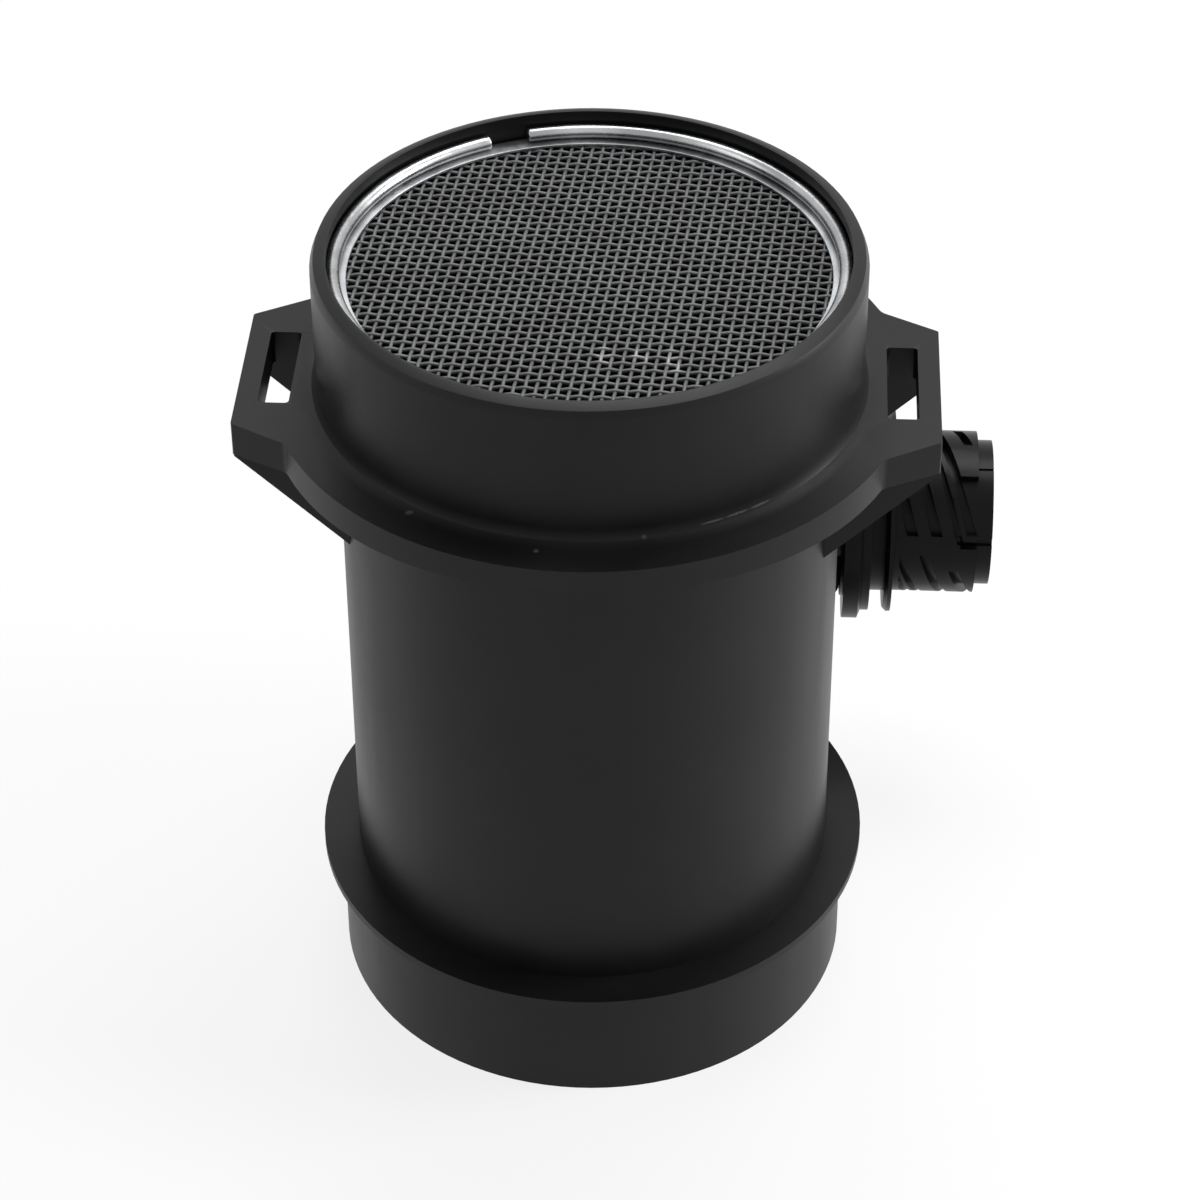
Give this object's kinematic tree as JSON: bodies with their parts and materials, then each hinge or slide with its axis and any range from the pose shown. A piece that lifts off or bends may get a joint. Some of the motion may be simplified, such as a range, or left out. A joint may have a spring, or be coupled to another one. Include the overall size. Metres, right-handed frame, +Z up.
{
  "type": "mass airflow sensor",
  "caption": "Hot-film air meter: round measuring tube with a woven inlet screen, clip ears and a sensor module whose round ribbed connector leaves to one side.",
  "frame": {"origin": "centre of the outlet end face, on the tube's axis", "axes": "+Z up the tube's axis from the outlet to the inlet screen, +X to the clip ear above the connector and along the connector towards its mouth, -Y to the front, away from the sensor module"},
  "size_m": [0.1274, 0.1241, 0.1439],
  "materials": {
    "tube_plastic": "satin, moulded, glass filled",
    "module_plastic": "satin, moulded, glass filled",
    "probe_plastic": "matt, moulded",
    "carrier_plastic": "matt, moulded",
    "cloth_steel": "drawn wire, dull",
    "hoop_steel": "rolled strip, dull",
    "ring_steel": "drawn spring wire, bright",
    "screw_steel": "zinc plated",
    "seal_rubber": "matt",
    "seal_silicone": "matt",
    "plate_aluminium": "milled",
    "board_ceramic": "fired ceramic, printed tracks",
    "blade_ceramic": "fired ceramic",
    "film_glass": "thin film on glass, glossy",
    "chip_epoxy": "moulded epoxy",
    "resistor_body": "glazed ceramic",
    "capacitor_body": "fired ceramic",
    "transistor_metal": "tinned tab",
    "contact_tin": "gold flashed brass",
    "strip_copper": "tinned copper",
    "bead_epoxy": "dipped epoxy",
    "lead_wire": "tinned wire"
  },
  "bodies": {
    "root": {"measuring_tube": "tube_plastic", "inlet_screen": "cloth_steel", "screen_hoop": "hoop_steel", "snap_ring": "ring_steel", "module_housing": "module_plastic", "module_cover": "module_plastic", "module_screws": "screw_steel", "probe_housing": "probe_plastic", "probe_seal": "seal_rubber", "bypass_cover": "probe_plastic", "sensor_blade": "blade_ceramic", "film_chip": "film_glass", "air_thermistor": "bead_epoxy", "thermistor_leads": "lead_wire", "base_plate": "plate_aluminium", "circuit_board": "board_ceramic", "control_chip": "chip_epoxy", "amplifier_chip": "chip_epoxy", "heater_transistor": "transistor_metal", "chip_resistors": "resistor_body", "chip_capacitors": "capacitor_body", "contact_carrier": "carrier_plastic", "contact_pins": "contact_tin", "contact_strips": "strip_copper", "socket_seal": "seal_silicone"}
  },
  "joints": []
}
